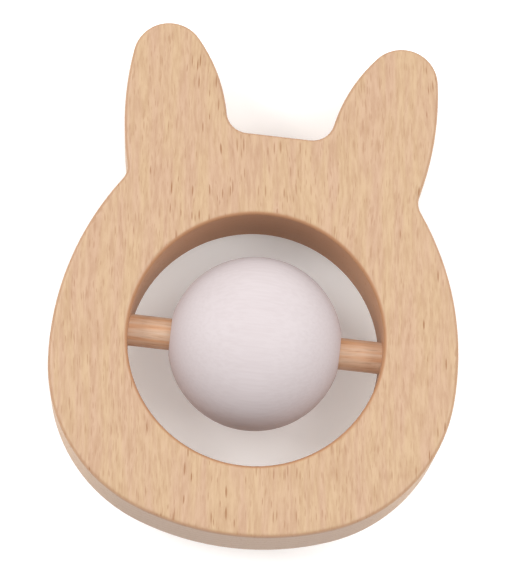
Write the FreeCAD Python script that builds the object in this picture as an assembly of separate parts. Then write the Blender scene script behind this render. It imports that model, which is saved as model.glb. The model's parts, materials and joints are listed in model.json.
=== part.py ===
import FreeCAD, Part
import math
import os

# Teething ring: a flat beech bunny head with a round opening, and a painted wooden
# ball that turns and slides on a dowel across the opening. Sizes are in millimetres.
# Each piece is first made in the flat plate's own frame: the dowel's axis is X, +Y is
# towards the ears and the plate's mid-plane is z = 0. The finished pieces are then
# turned and lifted to the way the ring lies on a table, on its ball and both ear tips.

Vector = FreeCAD.Vector

# Plate
plate_thickness = 17.0
rim_rounding = 1.0
opening_diameter = 51.0
opening_drop = 0.75       # the opening's centre is this far from the dowel, towards the chin

# Head outline, in reaches from the dowel's axis
head_width = 81.2
widest_drop = 4.5         # the head is widest this far below the axis
chin_reach = 40.4
crown_reach = 41.4
chin_radius = 56.5
jaw_radius = 32.2
cheek_radius = 58.6

# Ears
ear_reach = 62.7
ear_spacing = 47.5        # between the centres of the two tips' arcs
ear_tip_radius = 7.3
ear_outer_radius = 63.2
ear_outer_turn = 7.6      # degrees on the tip's arc, where the outer side starts
ear_inner_radius = 33.7
ear_inner_turn = 139.8    # degrees on the tip's arc, where the inner side starts
notch_radius = 4.0        # inside corner between an ear and its cheek
crown_corner_radius = 4.5  # inside corner between an ear and the crown

# Dowel, its two sockets and the plug that closes the through-drilled one
dowel_diameter = 6.4
dowel_chamfer = 0.6
socket_clearance = 0.06   # radial, the dowel turns in its sockets
dowel_end_play = 0.3      # at each end of the dowel
plug_length = 6.0         # also the wood left beyond the blind socket
plug_proud = 0.3
plug_easing = 0.3

# Ball
ball_diameter = 35.0
bore_clearance = 0.09     # radial, the ball slides on the dowel
bore_easing = 0.8

half_thickness = plate_thickness / 2
opening_radius = opening_diameter / 2
ball_radius = ball_diameter / 2
dowel_radius = dowel_diameter / 2
socket_radius = dowel_radius + socket_clearance
bore_radius = dowel_radius + bore_clearance

# Centres of the outline's arcs
chin_centre = Vector(0, chin_radius - chin_reach, 0)
cheek_centre = Vector(head_width / 2 - cheek_radius, -widest_drop, 0)
tip_centre = Vector(ear_spacing / 2, ear_reach - ear_tip_radius, 0)


def on_circle(centre, radius, degrees):
    turn = math.radians(degrees)
    return centre + Vector(radius * math.cos(turn), radius * math.sin(turn), 0)


def heading(start, end):
    return math.degrees(math.atan2(end.y - start.y, end.x - start.x))


def circles_meet(centre_a, radius_a, centre_b, radius_b):
    # the crossing that lies to the left of the way from a to b
    gap = centre_b - centre_a
    distance = gap.Length
    along = (radius_a**2 - radius_b**2 + distance**2) / (2 * distance)
    across = math.sqrt(radius_a**2 - along**2)
    forward = gap / distance
    leftward = Vector(-forward.y, forward.x, 0)
    return centre_a + forward * along + leftward * across


def arc(centre, radius, start, end):
    middle = (start + end) / 2
    points = [on_circle(centre, radius, turn) for turn in (start, middle, end)]
    return Part.Arc(*points).toShape()


def head_outline():
    jaw_centre = circles_meet(
        chin_centre, chin_radius - jaw_radius, cheek_centre, cheek_radius - jaw_radius
    )
    outer_centre = on_circle(tip_centre, ear_outer_radius - ear_tip_radius, ear_outer_turn + 180)
    inner_centre = on_circle(tip_centre, ear_inner_radius - ear_tip_radius, ear_inner_turn + 180)
    notch_centre = circles_meet(
        outer_centre, ear_outer_radius + notch_radius, cheek_centre, cheek_radius + notch_radius
    )
    corner_y = crown_reach + crown_corner_radius
    corner_span = ear_inner_radius + crown_corner_radius
    corner_x = inner_centre.x - math.sqrt(corner_span**2 - (corner_y - inner_centre.y) ** 2)
    corner_centre = Vector(corner_x, corner_y, 0)

    chin_end = heading(chin_centre, jaw_centre)
    jaw_end = heading(cheek_centre, jaw_centre)
    cheek_end = heading(cheek_centre, notch_centre)
    outer_start = heading(outer_centre, notch_centre)
    inner_end = heading(inner_centre, corner_centre) % 360

    right_half = [
        arc(jaw_centre, jaw_radius, chin_end, jaw_end),
        arc(cheek_centre, cheek_radius, jaw_end, cheek_end),
        arc(notch_centre, notch_radius, cheek_end + 180, outer_start + 180),
        arc(outer_centre, ear_outer_radius, outer_start, ear_outer_turn),
        arc(tip_centre, ear_tip_radius, ear_outer_turn, ear_inner_turn),
        arc(inner_centre, ear_inner_radius, ear_inner_turn, inner_end),
        arc(corner_centre, crown_corner_radius, inner_end - 180, -90),
    ]
    left_half = [edge.mirror(Vector(0, 0, 0), Vector(1, 0, 0)) for edge in right_half]
    chin = arc(chin_centre, chin_radius, -180 - chin_end, chin_end)
    crown = Part.makeLine(Vector(corner_x, crown_reach, 0), Vector(-corner_x, crown_reach, 0))
    edges = right_half + left_half + [chin, crown]
    return Part.Wire(Part.__sortEdges__(edges))


def cheek_edge():
    # x of the cheek's outer wall at the dowel's height
    return cheek_centre.x + math.sqrt(cheek_radius**2 - cheek_centre.y**2)


def socket_end():
    # x of the dowel's room at each end: the plug's inner end, and the blind socket's bottom
    return cheek_edge() - plug_length


def across_bar(radius, start, end):
    # a round bar along the dowel's axis
    return Part.makeCylinder(radius, end - start, Vector(start, 0, 0), Vector(1, 0, 0))


def rim_edges(solid):
    # every edge that lies in the plate's front or back face
    found = []
    for edge in solid.Edges:
        box = edge.BoundBox
        flat = box.ZLength < 0.001
        if flat and abs(abs(box.ZMin) - half_thickness) < 0.001:
            found.append(edge)
    return found


def make_bunny_frame():
    outline = head_outline()
    outline.translate(Vector(0, 0, -half_thickness))
    plate = Part.Face(outline).extrude(Vector(0, 0, plate_thickness))
    opening = Part.makeCylinder(
        opening_radius, plate_thickness, Vector(0, -opening_drop, -half_thickness)
    )
    plate = plate.cut(opening)
    plate = plate.makeFillet(rim_rounding, rim_edges(plate))
    drilled = across_bar(socket_radius, -socket_end(), head_width)
    return plate.cut(drilled)


def make_hole_plug():
    # glued in, its outer end sanded to the cheek's curve
    blank = across_bar(socket_radius, socket_end(), head_width)
    sanding_base = cheek_centre - Vector(0, 0, half_thickness)
    sanding = Part.makeCylinder(cheek_radius + plug_proud, plate_thickness, sanding_base)
    plug = blank.common(sanding)
    outer_end = [edge for edge in plug.Edges if edge.BoundBox.XMin > cheek_edge() - plug_proud]
    return plug.makeFillet(plug_easing, outer_end)


def make_axle_dowel():
    end = socket_end() - dowel_end_play
    dowel = across_bar(dowel_radius, -end, end)
    end_circles = [edge for edge in dowel.Edges if edge.BoundBox.XLength < 0.001]
    return dowel.makeChamfer(dowel_chamfer, end_circles)


def make_ball():
    ball = Part.makeSphere(ball_radius)
    ball = ball.cut(across_bar(bore_radius, -ball_diameter, ball_diameter))
    mouths = [edge for edge in ball.Edges if edge.BoundBox.XLength < 0.001]
    return ball.makeFillet(bore_easing, mouths)


def lie_angle():
    # the tilt, in degrees, at which the ball and the ear tips' back rims touch one flat
    # surface: reach * sin + depth * cos = ball_radius - rim_rounding
    reach = ear_reach - rim_rounding
    depth = half_thickness - rim_rounding
    span = math.hypot(reach, depth)
    return math.degrees(math.asin((ball_radius - rim_rounding) / span) - math.atan2(depth, reach))


def lay_down(solid):
    # ears down to the surface, ball's underside at z = 0, outline centred on the origin
    solid.rotate(Vector(0, 0, 0), Vector(1, 0, 0), -lie_angle())
    middle_y = (ear_reach - chin_reach) / 2 * math.cos(math.radians(lie_angle()))
    solid.translate(Vector(0, -middle_y, ball_radius))
    return solid


pieces = {
    "bunny_frame": make_bunny_frame,
    "hole_plug": make_hole_plug,
    "axle_dowel": make_axle_dowel,
    "ball": make_ball,
}

os.makedirs("parts", exist_ok=True)
for name, make in pieces.items():
    laid = lay_down(make())
    laid.exportStep("parts/" + name + ".step")
    print(name, "volume", round(laid.Volume, 1), "valid", laid.isValid())
print("lies at", round(lie_angle(), 3), "degrees")
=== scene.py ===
import bpy
import json
import math
from mathutils import Matrix, Vector


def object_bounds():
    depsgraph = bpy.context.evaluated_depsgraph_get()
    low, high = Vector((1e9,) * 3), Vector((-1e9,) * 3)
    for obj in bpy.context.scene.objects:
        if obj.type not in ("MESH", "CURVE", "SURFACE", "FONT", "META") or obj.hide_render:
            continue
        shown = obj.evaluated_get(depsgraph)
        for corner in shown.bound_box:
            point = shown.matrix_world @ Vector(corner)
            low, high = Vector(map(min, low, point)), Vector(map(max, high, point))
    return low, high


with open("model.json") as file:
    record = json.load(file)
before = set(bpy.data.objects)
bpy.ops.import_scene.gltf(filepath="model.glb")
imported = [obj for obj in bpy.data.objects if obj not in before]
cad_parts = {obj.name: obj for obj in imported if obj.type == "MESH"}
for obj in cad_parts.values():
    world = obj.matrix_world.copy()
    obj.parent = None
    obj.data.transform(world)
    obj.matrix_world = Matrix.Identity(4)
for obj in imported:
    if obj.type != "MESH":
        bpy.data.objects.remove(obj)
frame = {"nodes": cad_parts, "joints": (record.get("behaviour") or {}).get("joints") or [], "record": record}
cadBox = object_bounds()
print("loaded", sorted(frame["nodes"]))

# where things are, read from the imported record
mounts = {mount["name"]: mount for mount in frame["record"]["mounts"]}
joints = {joint["name"]: joint for joint in frame["joints"]}
plateNormal = Vector(mounts["front_face"]["axis"])
plateLean = math.atan2(plateNormal.y, plateNormal.z)
axleCentre = Vector(joints["dowel_turn"]["pos_m"])
alongDowel = (0.0, 0.0, -math.pi / 2)  # turns a pattern's length from Y to X
mmInMetre = 1000.0


# small helpers that add nodes to a shader tree

def newNode(tree, kind, **settings):
    node = tree.nodes.new(kind)
    for name, value in settings.items():
        setattr(node, name, value)
    return node


def feed(tree, socket, value):
    # a socket takes another node's output or a plain value
    if isinstance(value, bpy.types.NodeSocket):
        tree.links.new(value, socket)
    else:
        socket.default_value = value


def calc(tree, operation, first, second=0.0):
    node = newNode(tree, "ShaderNodeMath", operation=operation)
    feed(tree, node.inputs[0], first)
    feed(tree, node.inputs[1], second)
    return node.outputs[0]


def remap(tree, value, low, high, toLow=0.0, toHigh=1.0):
    node = newNode(tree, "ShaderNodeMapRange", interpolation_type="SMOOTHSTEP")
    feed(tree, node.inputs["Value"], value)
    node.inputs["From Min"].default_value = low
    node.inputs["From Max"].default_value = high
    node.inputs["To Min"].default_value = toLow
    node.inputs["To Max"].default_value = toHigh
    return node.outputs["Result"]


def times(tree, first, second):
    return calc(tree, "MULTIPLY", first, second)


def blendColour(tree, amount, first, second):
    node = newNode(tree, "ShaderNodeMix", data_type="RGBA", blend_type="MIX")
    feed(tree, node.inputs["Factor"], amount)
    feed(tree, node.inputs["A"], first)
    feed(tree, node.inputs["B"], second)
    return node.outputs["Result"]


def stretched(tree, vector, sizes):
    # divides a place in mm by a cell size, so one cell of a texture is that many mm
    node = newNode(tree, "ShaderNodeVectorMath", operation="DIVIDE")
    feed(tree, node.inputs[0], vector)
    node.inputs[1].default_value = sizes
    return node.outputs["Vector"]


def noiseOf(tree, vector, sizes, detail=2.0, roughness=0.5):
    node = newNode(tree, "ShaderNodeTexNoise")
    feed(tree, node.inputs["Vector"], stretched(tree, vector, sizes))
    node.inputs["Scale"].default_value = 1.0
    node.inputs["Detail"].default_value = detail
    node.inputs["Roughness"].default_value = roughness
    return node.outputs["Fac"]


def newGroup(name, inputs, outputs):
    group = bpy.data.node_groups.new(name, "ShaderNodeTree")
    for label, kind, value in inputs:
        socket = group.interface.new_socket(label, in_out="INPUT", socket_type=kind)
        if value is not None:
            socket.default_value = value
    for label, kind in outputs:
        group.interface.new_socket(label, in_out="OUTPUT", socket_type=kind)
    return group, newNode(group, "NodeGroupInput"), newNode(group, "NodeGroupOutput")


def distanceFromAxis(tree, first, second):
    # a point's distance from an axis, from its two coordinates across that axis
    squares = calc(tree, "ADD", calc(tree, "POWER", first, 2.0), calc(tree, "POWER", second, 2.0))
    return calc(tree, "SQRT", squares)


def placeGroup(tree, group, values):
    node = newNode(tree, "ShaderNodeGroup", node_tree=group)
    for label, value in values.items():
        feed(tree, node.inputs[label], value)
    return node


# effects that several finishes share

fleckShape = {
    "scatter": 0.9,
    "smallest": 0.45,
    "softEdge": 0.6,
    "faintest": 0.3,
    "mostlyFaint": 2.0,  # a higher power leaves fewer dark ones
}


def makeFleckGroup():
    # one soft-edged fleck in some of the cells, each with its own size and darkness
    group, start, end = newGroup(
        "rayFlecks",
        [("Place", "NodeSocketVector", None),
         ("Size", "NodeSocketFloat", 0.3),
         ("Share", "NodeSocketFloat", 0.5)],
        [("Mask", "NodeSocketFloat")],
    )
    cells = newNode(group, "ShaderNodeTexVoronoi", feature="F1")
    feed(group, cells.inputs["Vector"], start.outputs["Place"])
    cells.inputs["Scale"].default_value = 1.0
    cells.inputs["Randomness"].default_value = fleckShape["scatter"]
    parts = newNode(group, "ShaderNodeSeparateColor")
    feed(group, parts.inputs[0], cells.outputs["Color"])
    size = times(group, start.outputs["Size"], calc(group, "ADD", parts.outputs[1], fleckShape["smallest"]))
    nearness = calc(group, "SUBTRACT", 1.0, calc(group, "DIVIDE", cells.outputs["Distance"], size))
    shape = remap(group, nearness, 0.0, fleckShape["softEdge"])
    kept = calc(group, "LESS_THAN", parts.outputs[0], start.outputs["Share"])
    chance = calc(group, "POWER", parts.outputs[2], fleckShape["mostlyFaint"])
    chance = times(group, chance, 1.0 - fleckShape["faintest"])
    strength = calc(group, "ADD", chance, fleckShape["faintest"])
    feed(group, end.inputs["Mask"], times(group, times(group, shape, kept), strength))
    return group


# three sizes are mm across the grain, along it and into the board; the rest of a fleck
# or pore is counted in its own cells
woodGrain = {
    "wander": (9.0, 34.0, 14.0),
    "wanderBy": 3.2,  # mm, across the grain
    "bands": (2.2, 20.0, 3.2),
    "bandRange": (0.3, 0.7),  # the noise values that count as none and all
    "fibre": (0.7, 5.0, 0.8),
    "fleckCell": (0.56, 4.4, 0.8),
    "fleckSize": 0.30,
    "poreCell": (0.36, 2.7, 0.7),
    "poreSize": 0.34,
    "poreShare": 0.8,
}


def makeGrainGroup(fleckGroup):
    group, start, end = newGroup(
        "woodGrain",
        [("Place", "NodeSocketVector", None), ("Fleck share", "NodeSocketFloat", 0.5)],
        [("Bands", "NodeSocketFloat"),
         ("Fibre", "NodeSocketFloat"),
         ("Flecks", "NodeSocketFloat"),
         ("Pores", "NodeSocketFloat")],
    )
    place = start.outputs["Place"]
    wander = calc(group, "SUBTRACT", noiseOf(group, place, woodGrain["wander"], detail=1.0), 0.5)
    sideways = newNode(group, "ShaderNodeCombineXYZ")
    feed(group, sideways.inputs["X"], times(group, wander, woodGrain["wanderBy"]))
    bent = newNode(group, "ShaderNodeVectorMath", operation="ADD")
    feed(group, bent.inputs[0], place)
    feed(group, bent.inputs[1], sideways.outputs[0])
    bentPlace = bent.outputs["Vector"]
    bands = noiseOf(group, bentPlace, woodGrain["bands"], detail=2.0, roughness=0.55)
    fibre = noiseOf(group, bentPlace, woodGrain["fibre"], detail=3.0, roughness=0.62)
    flecks = placeGroup(group, fleckGroup, {
        "Place": stretched(group, bentPlace, woodGrain["fleckCell"]),
        "Size": woodGrain["fleckSize"],
        "Share": start.outputs["Fleck share"],
    })
    pores = placeGroup(group, fleckGroup, {
        "Place": stretched(group, bentPlace, woodGrain["poreCell"]),
        "Size": woodGrain["poreSize"],
        "Share": woodGrain["poreShare"],
    })
    feed(group, end.inputs["Bands"], remap(group, bands, *woodGrain["bandRange"]))
    feed(group, end.inputs["Fibre"], fibre)
    feed(group, end.inputs["Flecks"], flecks.outputs["Mask"])
    feed(group, end.inputs["Pores"], pores.outputs["Mask"])
    return group


def makeFacingGroup():
    # how squarely the surface faces a direction of the piece, front or back alike
    group, start, end = newGroup(
        "facing", [("Direction", "NodeSocketVector", (0.0, 0.0, 1.0))], [("Amount", "NodeSocketFloat")])
    coords = newNode(group, "ShaderNodeTexCoord")
    dot = newNode(group, "ShaderNodeVectorMath", operation="DOT_PRODUCT")
    feed(group, dot.inputs[0], coords.outputs["Normal"])
    feed(group, dot.inputs[1], start.outputs["Direction"])
    feed(group, end.inputs["Amount"], calc(group, "ABSOLUTE", dot.outputs["Value"]))
    return group


fleckGroup = makeFleckGroup()
grainGroup = makeGrainGroup(fleckGroup)
facingGroup = makeFacingGroup()
print("shared effects ready")


# the finish of each piece

def startMaterial(name, settings):
    material = bpy.data.materials.new(name)
    material.use_nodes = True
    tree = material.node_tree
    shader = tree.nodes["Principled BSDF"]
    shader.inputs["Specular IOR Level"].default_value = settings["specular"]
    return material, tree, shader


def ringsRound(tree, place, scale, waviness):
    # growth rings round the place's own Y axis
    rings = newNode(tree, "ShaderNodeTexWave", wave_type="RINGS", rings_direction="Y")
    feed(tree, rings.inputs["Vector"], place)
    rings.inputs["Scale"].default_value = scale
    rings.inputs["Distortion"].default_value = waviness[0]
    rings.inputs["Detail Scale"].default_value = waviness[1]
    return rings.outputs["Fac"]


def placeInMm(tree, turn=(0.0, 0.0, 0.0), centre=(0.0, 0.0, 0.0)):
    # the piece's own coordinates, centred, turned to its grain and counted in mm
    coords = newNode(tree, "ShaderNodeTexCoord")
    mapping = newNode(tree, "ShaderNodeMapping", vector_type="TEXTURE")
    feed(tree, mapping.inputs["Vector"], coords.outputs["Object"])
    mapping.inputs["Location"].default_value = centre
    mapping.inputs["Rotation"].default_value = turn
    mapping.inputs["Scale"].default_value = (1 / mmInMetre,) * 3
    return mapping.outputs["Vector"]


def bumpFrom(tree, height, strength, distance):
    bump = newNode(tree, "ShaderNodeBump")
    bump.inputs["Strength"].default_value = strength
    bump.inputs["Distance"].default_value = distance
    feed(tree, bump.inputs["Height"], height)
    return bump.outputs["Normal"]


# in mm; the drop is from the dowel's axis to the opening's centre
opening = {"radius": 25.5, "drop": 0.75, "fadeFrom": 0.1, "fadeTo": 0.8}

beech = {
    "pale": (0.466, 0.322, 0.196, 1.0),
    "warm": (0.454, 0.300, 0.200, 1.0),
    "fleck": (0.245, 0.112, 0.045, 1.0),
    # painted shade: a darker line on the rounded edge between face and side wall, where the rounding turns
    # from the light
    "rimShade": (0.330, 0.160, 0.072, 1.0),
    "rimShadeStrength": 0.45,
    "rimFacing": ((0.97, 0.75), (0.0, 0.35)),  # off the face, and off the side wall
    "endGrain": (0.345, 0.246, 0.190, 1.0),
    "endPore": (0.190, 0.110, 0.068, 1.0),
    "endPoreStrength": 0.55,
    "endRing": {
        "centre": (0.0125, 0.0, -0.055),  # metres from the dowel's axis
        "scale": 0.13,
        "waviness": (1.4, 0.3),  # how far, and how fine
        "sharpness": 3.0,
        "strength": 0.22,
    },
    "endFacing": (0.55, 0.95),
    "endCover": 0.75,
    "paintedWallShade": (0.420, 0.200, 0.098, 1.0),  # the opening's wall, painted darker and warmer as its shade and the warm light bounced off the wood round it
    "paintedWallShadeCover": 0.8,
    "fleckStrength": 0.86,
    "poreStrength": 0.40,
    "fibreRange": (0.3, 0.72),
    "fibreStrength": 0.32,
    "fleckShare": 0.76,
    "grainTurn": 6.0,  # degrees, the board's grain against the line from chin to crown
    "roughness": 0.50,
    "fleckDulls": 0.2,
    "endDulls": 0.15,
    "fibreHeight": -0.35,  # against a fleck's dip
    "relief": (0.35, 0.00005),  # strength, and depth in metres
    "specular": 0.35,
}


def nearOpening(tree, place):
    # 1 on the opening's wall, 0 a little outside it
    apart = newNode(tree, "ShaderNodeSeparateXYZ")
    feed(tree, apart.inputs[0], place)
    along = calc(tree, "ADD", apart.outputs["Y"], opening["drop"])
    reach = distanceFromAxis(tree, apart.outputs["X"], along)
    outside = calc(tree, "SUBTRACT", reach, opening["radius"])
    return remap(tree, outside, opening["fadeTo"], opening["fadeFrom"])


def growthRings(tree):
    # the tree's centre lies well below the board, so only shallow arcs cross the end
    ring = beech["endRing"]
    turn = (-plateLean, 0.0, 0.0)
    place = placeInMm(tree, turn=turn, centre=axleCentre + Vector(ring["centre"]))
    rings = ringsRound(tree, place, ring["scale"], ring["waviness"])
    return times(tree, calc(tree, "POWER", rings, ring["sharpness"]), ring["strength"])


def makeBeech():
    material, tree, shader = startMaterial("oiledBeech", beech)
    place = placeInMm(tree, turn=(-plateLean, 0.0, 0.0), centre=axleCentre)
    grainTurn = math.radians(beech["grainTurn"])
    alongGrain = placeInMm(tree, turn=(-plateLean, 0.0, grainTurn), centre=axleCentre)
    grain = placeGroup(tree, grainGroup, {"Place": alongGrain, "Fleck share": beech["fleckShare"]})
    outwards = placeGroup(tree, facingGroup, {"Direction": plateNormal})
    towardsEars = (0.0, math.cos(plateLean), -math.sin(plateLean))
    along = placeGroup(tree, facingGroup, {"Direction": towardsEars})
    endFace = remap(tree, along.outputs["Amount"], *beech["endFacing"])
    offFace, offWall = (remap(tree, outwards.outputs["Amount"], *facing) for facing in beech["rimFacing"])
    # painted shade: mask of the rounded edges, between the face and the side wall
    rimShade = times(tree, offFace, offWall)

    # the face: bands, then fibres, pores and flecks over them
    colour = blendColour(tree, grain.outputs["Bands"], beech["pale"], beech["warm"])
    fibres = remap(tree, grain.outputs["Fibre"], *beech["fibreRange"], toHigh=beech["fibreStrength"])
    colour = blendColour(tree, fibres, colour, beech["fleck"])
    pores = times(tree, grain.outputs["Pores"], beech["poreStrength"])
    colour = blendColour(tree, pores, colour, beech["fleck"])
    flecks = times(tree, grain.outputs["Flecks"], beech["fleckStrength"])
    colour = blendColour(tree, flecks, colour, beech["fleck"])

    # chin, crown and ear tips, where the board is cut across
    endPores = times(tree, grain.outputs["Pores"], beech["endPoreStrength"])
    cutAcross = blendColour(tree, endPores, beech["endGrain"], beech["endPore"])
    cutAcross = blendColour(tree, growthRings(tree), cutAcross, beech["endPore"])
    colour = blendColour(tree, times(tree, endFace, beech["endCover"]), colour, cutAcross)

    # painted shade: the opening's wall made darker and warmer, standing in for its shade and the light
    # bounced off the wood round it
    paintedWallShade = times(tree, nearOpening(tree, place), beech["paintedWallShadeCover"])
    colour = blendColour(tree, paintedWallShade, colour, beech["paintedWallShade"])
    # painted shade darkens the rounded edges
    colour = blendColour(tree, times(tree, rimShade, beech["rimShadeStrength"]), colour, beech["rimShade"])
    feed(tree, shader.inputs["Base Color"], colour)

    dull = calc(tree, "ADD", beech["roughness"], times(tree, grain.outputs["Flecks"], beech["fleckDulls"]))
    dull = calc(tree, "ADD", dull, times(tree, endFace, beech["endDulls"]))
    feed(tree, shader.inputs["Roughness"], dull)
    fibreDips = times(tree, grain.outputs["Fibre"], beech["fibreHeight"])
    dips = calc(tree, "ADD", grain.outputs["Flecks"], fibreDips)
    feed(tree, shader.inputs["Normal"], bumpFrom(tree, times(tree, dips, -1.0), *beech["relief"]))
    return material


dowelWood = {
    "pale": (0.605, 0.432, 0.312, 1.0),
    "warm": (0.575, 0.312, 0.170, 1.0),
    "streak": (0.260, 0.105, 0.042, 1.0),
    "grainSize": (0.55, 1.1, 0.55),  # against the frame's grain
    "lineRange": (0.45, 0.8),
    "lineStrength": 0.45,
    "streakStrength": 0.55,
    "endFacing": (0.3, 0.9),
    "endStrength": 0.6,
    "fleckShare": 0.7,
    "roughness": 0.40,
    "lineDulls": 0.3,
    "relief": (0.4, 0.00006),  # strength, and depth in metres
    "specular": 0.45,
}


def makeDowelWood():
    material, tree, shader = startMaterial("dowelWood", dowelWood)
    place = placeInMm(tree, turn=alongDowel, centre=axleCentre)
    fine = stretched(tree, place, dowelWood["grainSize"])
    grain = placeGroup(tree, grainGroup, {"Place": fine, "Fleck share": dowelWood["fleckShare"]})
    colour = blendColour(tree, grain.outputs["Bands"], dowelWood["pale"], dowelWood["warm"])
    lines = remap(tree, grain.outputs["Fibre"], *dowelWood["lineRange"], toHigh=dowelWood["lineStrength"])
    colour = blendColour(tree, lines, colour, dowelWood["streak"])
    streaks = times(tree, grain.outputs["Flecks"], dowelWood["streakStrength"])
    colour = blendColour(tree, streaks, colour, dowelWood["streak"])
    cutEnd = placeGroup(tree, facingGroup, {"Direction": (1.0, 0.0, 0.0)})
    endMask = remap(tree, cutEnd.outputs["Amount"], *dowelWood["endFacing"])
    colour = blendColour(tree, times(tree, endMask, dowelWood["endStrength"]), colour, dowelWood["streak"])
    feed(tree, shader.inputs["Base Color"], colour)
    dull = calc(tree, "ADD", dowelWood["roughness"], times(tree, lines, dowelWood["lineDulls"]))
    feed(tree, shader.inputs["Roughness"], dull)
    dips = times(tree, grain.outputs["Fibre"], -1.0)
    feed(tree, shader.inputs["Normal"], bumpFrom(tree, dips, *dowelWood["relief"]))
    return material


plugWood = {
    "pale": (0.340, 0.225, 0.150, 1.0),
    "ring": (0.250, 0.145, 0.085, 1.0),
    "ringCentre": (0.0, 0.004, 0.011),  # metres from the dowel's axis
    "ringScale": 0.22,
    "ringWaviness": (0.8, 0.4),  # how far, and how fine
    "ringStrength": 0.6,
    "poreStrength": 0.5,
    "poreShare": 0.6,
    "roughness": 0.62,
    "poreDulls": 0.2,
    "relief": (0.3, 0.00005),  # strength, and depth in metres
    "specular": 0.25,
}


def makePlugWood():
    # its grain runs along the hole, so the end that shows has rings and pores
    material, tree, shader = startMaterial("plugEndGrain", plugWood)
    place = placeInMm(tree, turn=alongDowel, centre=axleCentre + Vector(plugWood["ringCentre"]))
    rings = ringsRound(tree, place, plugWood["ringScale"], plugWood["ringWaviness"])
    grain = placeGroup(tree, grainGroup, {"Place": place, "Fleck share": plugWood["poreShare"]})
    ringMask = times(tree, rings, plugWood["ringStrength"])
    colour = blendColour(tree, ringMask, plugWood["pale"], plugWood["ring"])
    pores = times(tree, grain.outputs["Pores"], plugWood["poreStrength"])
    colour = blendColour(tree, pores, colour, plugWood["ring"])
    feed(tree, shader.inputs["Base Color"], colour)
    dull = calc(tree, "ADD", plugWood["roughness"], times(tree, pores, plugWood["poreDulls"]))
    feed(tree, shader.inputs["Roughness"], dull)
    feed(tree, shader.inputs["Normal"], bumpFrom(tree, times(tree, pores, -1.0), *plugWood["relief"]))
    return material


ballPaint = {
    "paint": (0.492, 0.440, 0.446, 1.0),
    "thin": (0.454, 0.398, 0.402, 1.0),
    "bareWood": (0.360, 0.220, 0.135, 1.0),
    "brushMarks": (0.5, 16.0, 0.5),  # mm, long along the dowel
    "clouds": (9.0, 22.0, 9.0),
    "streakRange": (0.35, 0.7),
    "streakStrength": 0.55,
    "cloudRange": (0.4, 0.7),
    "cloudStrength": 0.25,
    "wearFrom": 3.3,  # mm from the dowel's axis, bare at the bore's eased mouth
    "wearTo": 4.3,
    "raggedBy": 0.9,
    "fleckShare": 0.5,
    "roughness": 0.62,
    "thinDulls": 0.12,
    "brushHeight": 0.6,
    "poreHeight": -0.5,
    "relief": (0.25, 0.00006),  # strength, and depth in metres
    "specular": 0.3,
}


def makeBallPaint():
    material, tree, shader = startMaterial("mattBallPaint", ballPaint)
    place = placeInMm(tree, turn=alongDowel, centre=axleCentre)
    grain = placeGroup(tree, grainGroup, {"Place": place, "Fleck share": ballPaint["fleckShare"]})
    brushed = noiseOf(tree, place, ballPaint["brushMarks"], detail=3.0, roughness=0.6)
    cloudy = noiseOf(tree, place, ballPaint["clouds"], detail=2.0)
    streaks = times(tree, remap(tree, brushed, *ballPaint["streakRange"]), ballPaint["streakStrength"])
    clouds = times(tree, remap(tree, cloudy, *ballPaint["cloudRange"]), ballPaint["cloudStrength"])
    thin = calc(tree, "ADD", streaks, clouds)
    colour = blendColour(tree, thin, ballPaint["paint"], ballPaint["thin"])

    # bare wood with a ragged edge round the bore
    apart = newNode(tree, "ShaderNodeSeparateXYZ")
    feed(tree, apart.inputs[0], place)
    fromAxis = distanceFromAxis(tree, apart.outputs["X"], apart.outputs["Z"])
    raggedBy = times(tree, calc(tree, "SUBTRACT", brushed, 0.5), ballPaint["raggedBy"])
    worn = remap(tree, calc(tree, "ADD", fromAxis, raggedBy), ballPaint["wearTo"], ballPaint["wearFrom"])
    colour = blendColour(tree, worn, colour, ballPaint["bareWood"])
    feed(tree, shader.inputs["Base Color"], colour)

    dull = calc(tree, "ADD", ballPaint["roughness"], times(tree, thin, ballPaint["thinDulls"]))
    feed(tree, shader.inputs["Roughness"], dull)
    marks = times(tree, brushed, ballPaint["brushHeight"])
    pores = times(tree, grain.outputs["Pores"], ballPaint["poreHeight"])
    relief = calc(tree, "ADD", marks, pores)
    feed(tree, shader.inputs["Normal"], bumpFrom(tree, relief, *ballPaint["relief"]))
    return material


finishes = {
    "bunny_frame": makeBeech,
    "hole_plug": makePlugWood,
    "axle_dowel": makeDowelWood,
    "ball": makeBallPaint,
}
for node, makeFinish in finishes.items():
    piece = frame["nodes"][node]
    for slot in piece.material_slots:
        slot.material = makeFinish()
    print("finished", node)


# where the piece is set down and seen from

floorLook = {
    "size": 3.0,
    "colour": (0.93, 0.93, 0.93, 1.0),
    "dust": (0.88, 0.88, 0.88, 1.0),
    "dustSize": (1.5, 1.5, 1.5),  # mm
    "dustStrength": 0.2,
    "glow": 0.15,
    "roughness": 0.7,
    "specular": 0.1,
}


def makeFloor():
    bpy.ops.object.select_all(action="DESELECT")
    bpy.ops.mesh.primitive_plane_add(size=floorLook["size"], location=(0.0, 0.0, cadBox[0].z))
    floor = bpy.context.object
    floor.name = "paperSweep"
    material = bpy.data.materials.new("palePaper")
    material.use_nodes = True
    tree = material.node_tree
    shader = tree.nodes["Principled BSDF"]
    fine = noiseOf(tree, placeInMm(tree), floorLook["dustSize"], detail=2.0)
    dust = times(tree, fine, floorLook["dustStrength"])
    colour = blendColour(tree, dust, floorLook["colour"], floorLook["dust"])
    feed(tree, shader.inputs["Base Color"], colour)
    feed(tree, shader.inputs["Emission Color"], colour)  # a lit white table, so shadows stay light
    shader.inputs["Emission Strength"].default_value = floorLook["glow"]
    shader.inputs["Roughness"].default_value = floorLook["roughness"]
    shader.inputs["Specular IOR Level"].default_value = floorLook["specular"]
    floor.data.materials.append(material)


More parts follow.
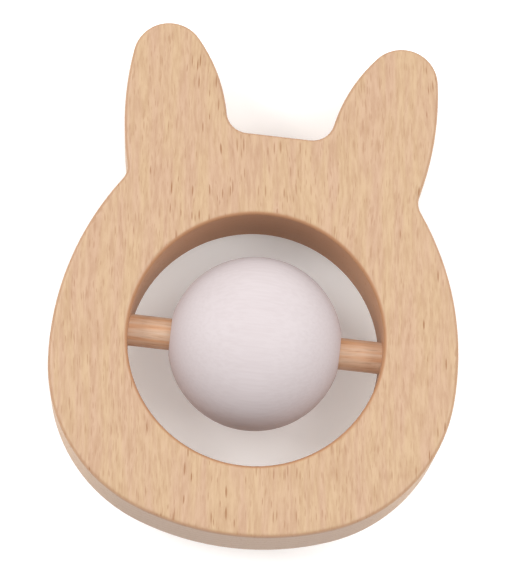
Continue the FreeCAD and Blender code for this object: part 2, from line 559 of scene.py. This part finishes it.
lights = {
    "sky": 0.76,
    "leftSoftbox": {"power": 23.0, "size": 0.9, "from": (-1.25, 0.42, 1.22)},
    "rightSoftbox": {"power": 24.4, "size": 1.4, "from": (1.18, 0.36, 1.32)},
}


def aimAt(thing, target):
    thing.rotation_euler = (target - thing.location).to_track_quat("-Z", "Y").to_euler()


def makeLights():
    world = bpy.data.worlds.new("studio")
    bpy.context.scene.world = world
    world.use_nodes = True
    sky = world.node_tree.nodes["Background"]
    sky.inputs["Color"].default_value = (1.0, 1.0, 1.0, 1.0)
    sky.inputs["Strength"].default_value = lights["sky"]
    for name in ("leftSoftbox", "rightSoftbox"):
        box = lights[name]
        bpy.ops.object.light_add(type="AREA", location=box["from"])
        lamp = bpy.context.object
        lamp.name = name
        lamp.data.shape = "SQUARE"
        lamp.data.size = box["size"]
        lamp.data.energy = box["power"]
        aimAt(lamp, axleCentre)


shot = {
    "distance": 0.60716,
    "azimuth": -6.68,
    "elevation": 84.74,
    "roll": 13.19,
    "aimRight": 0.00025,
    "aimUp": 0.01165,
    "lens": 190.3,
    "sensor": 36.0,
    "nearest": 0.01,
}


def makeCamera():
    azimuth, elevation, roll = (math.radians(shot[name]) for name in ("azimuth", "elevation", "roll"))
    back = Vector((math.sin(azimuth) * math.cos(elevation), -math.cos(azimuth) * math.cos(elevation),
                   math.sin(elevation)))
    level = Vector((math.cos(azimuth), math.sin(azimuth), 0.0))
    right = Matrix.Rotation(roll, 3, back) @ level
    up = back.cross(right)
    spot = axleCentre + right * shot["aimRight"] + up * shot["aimUp"] + back * shot["distance"]
    bpy.ops.object.camera_add()
    camera = bpy.context.object
    camera.name = "overheadCamera"
    turned = Matrix((right, up, back)).transposed().to_4x4()
    camera.matrix_world = Matrix.Translation(spot) @ turned
    camera.data.lens = shot["lens"]
    camera.data.sensor_width = shot["sensor"]
    camera.data.clip_start = shot["nearest"]
    bpy.context.scene.camera = camera


makeFloor()
makeLights()
makeCamera()
bpy.context.scene.view_settings.view_transform = "Standard"
print("floor, light and camera ready")
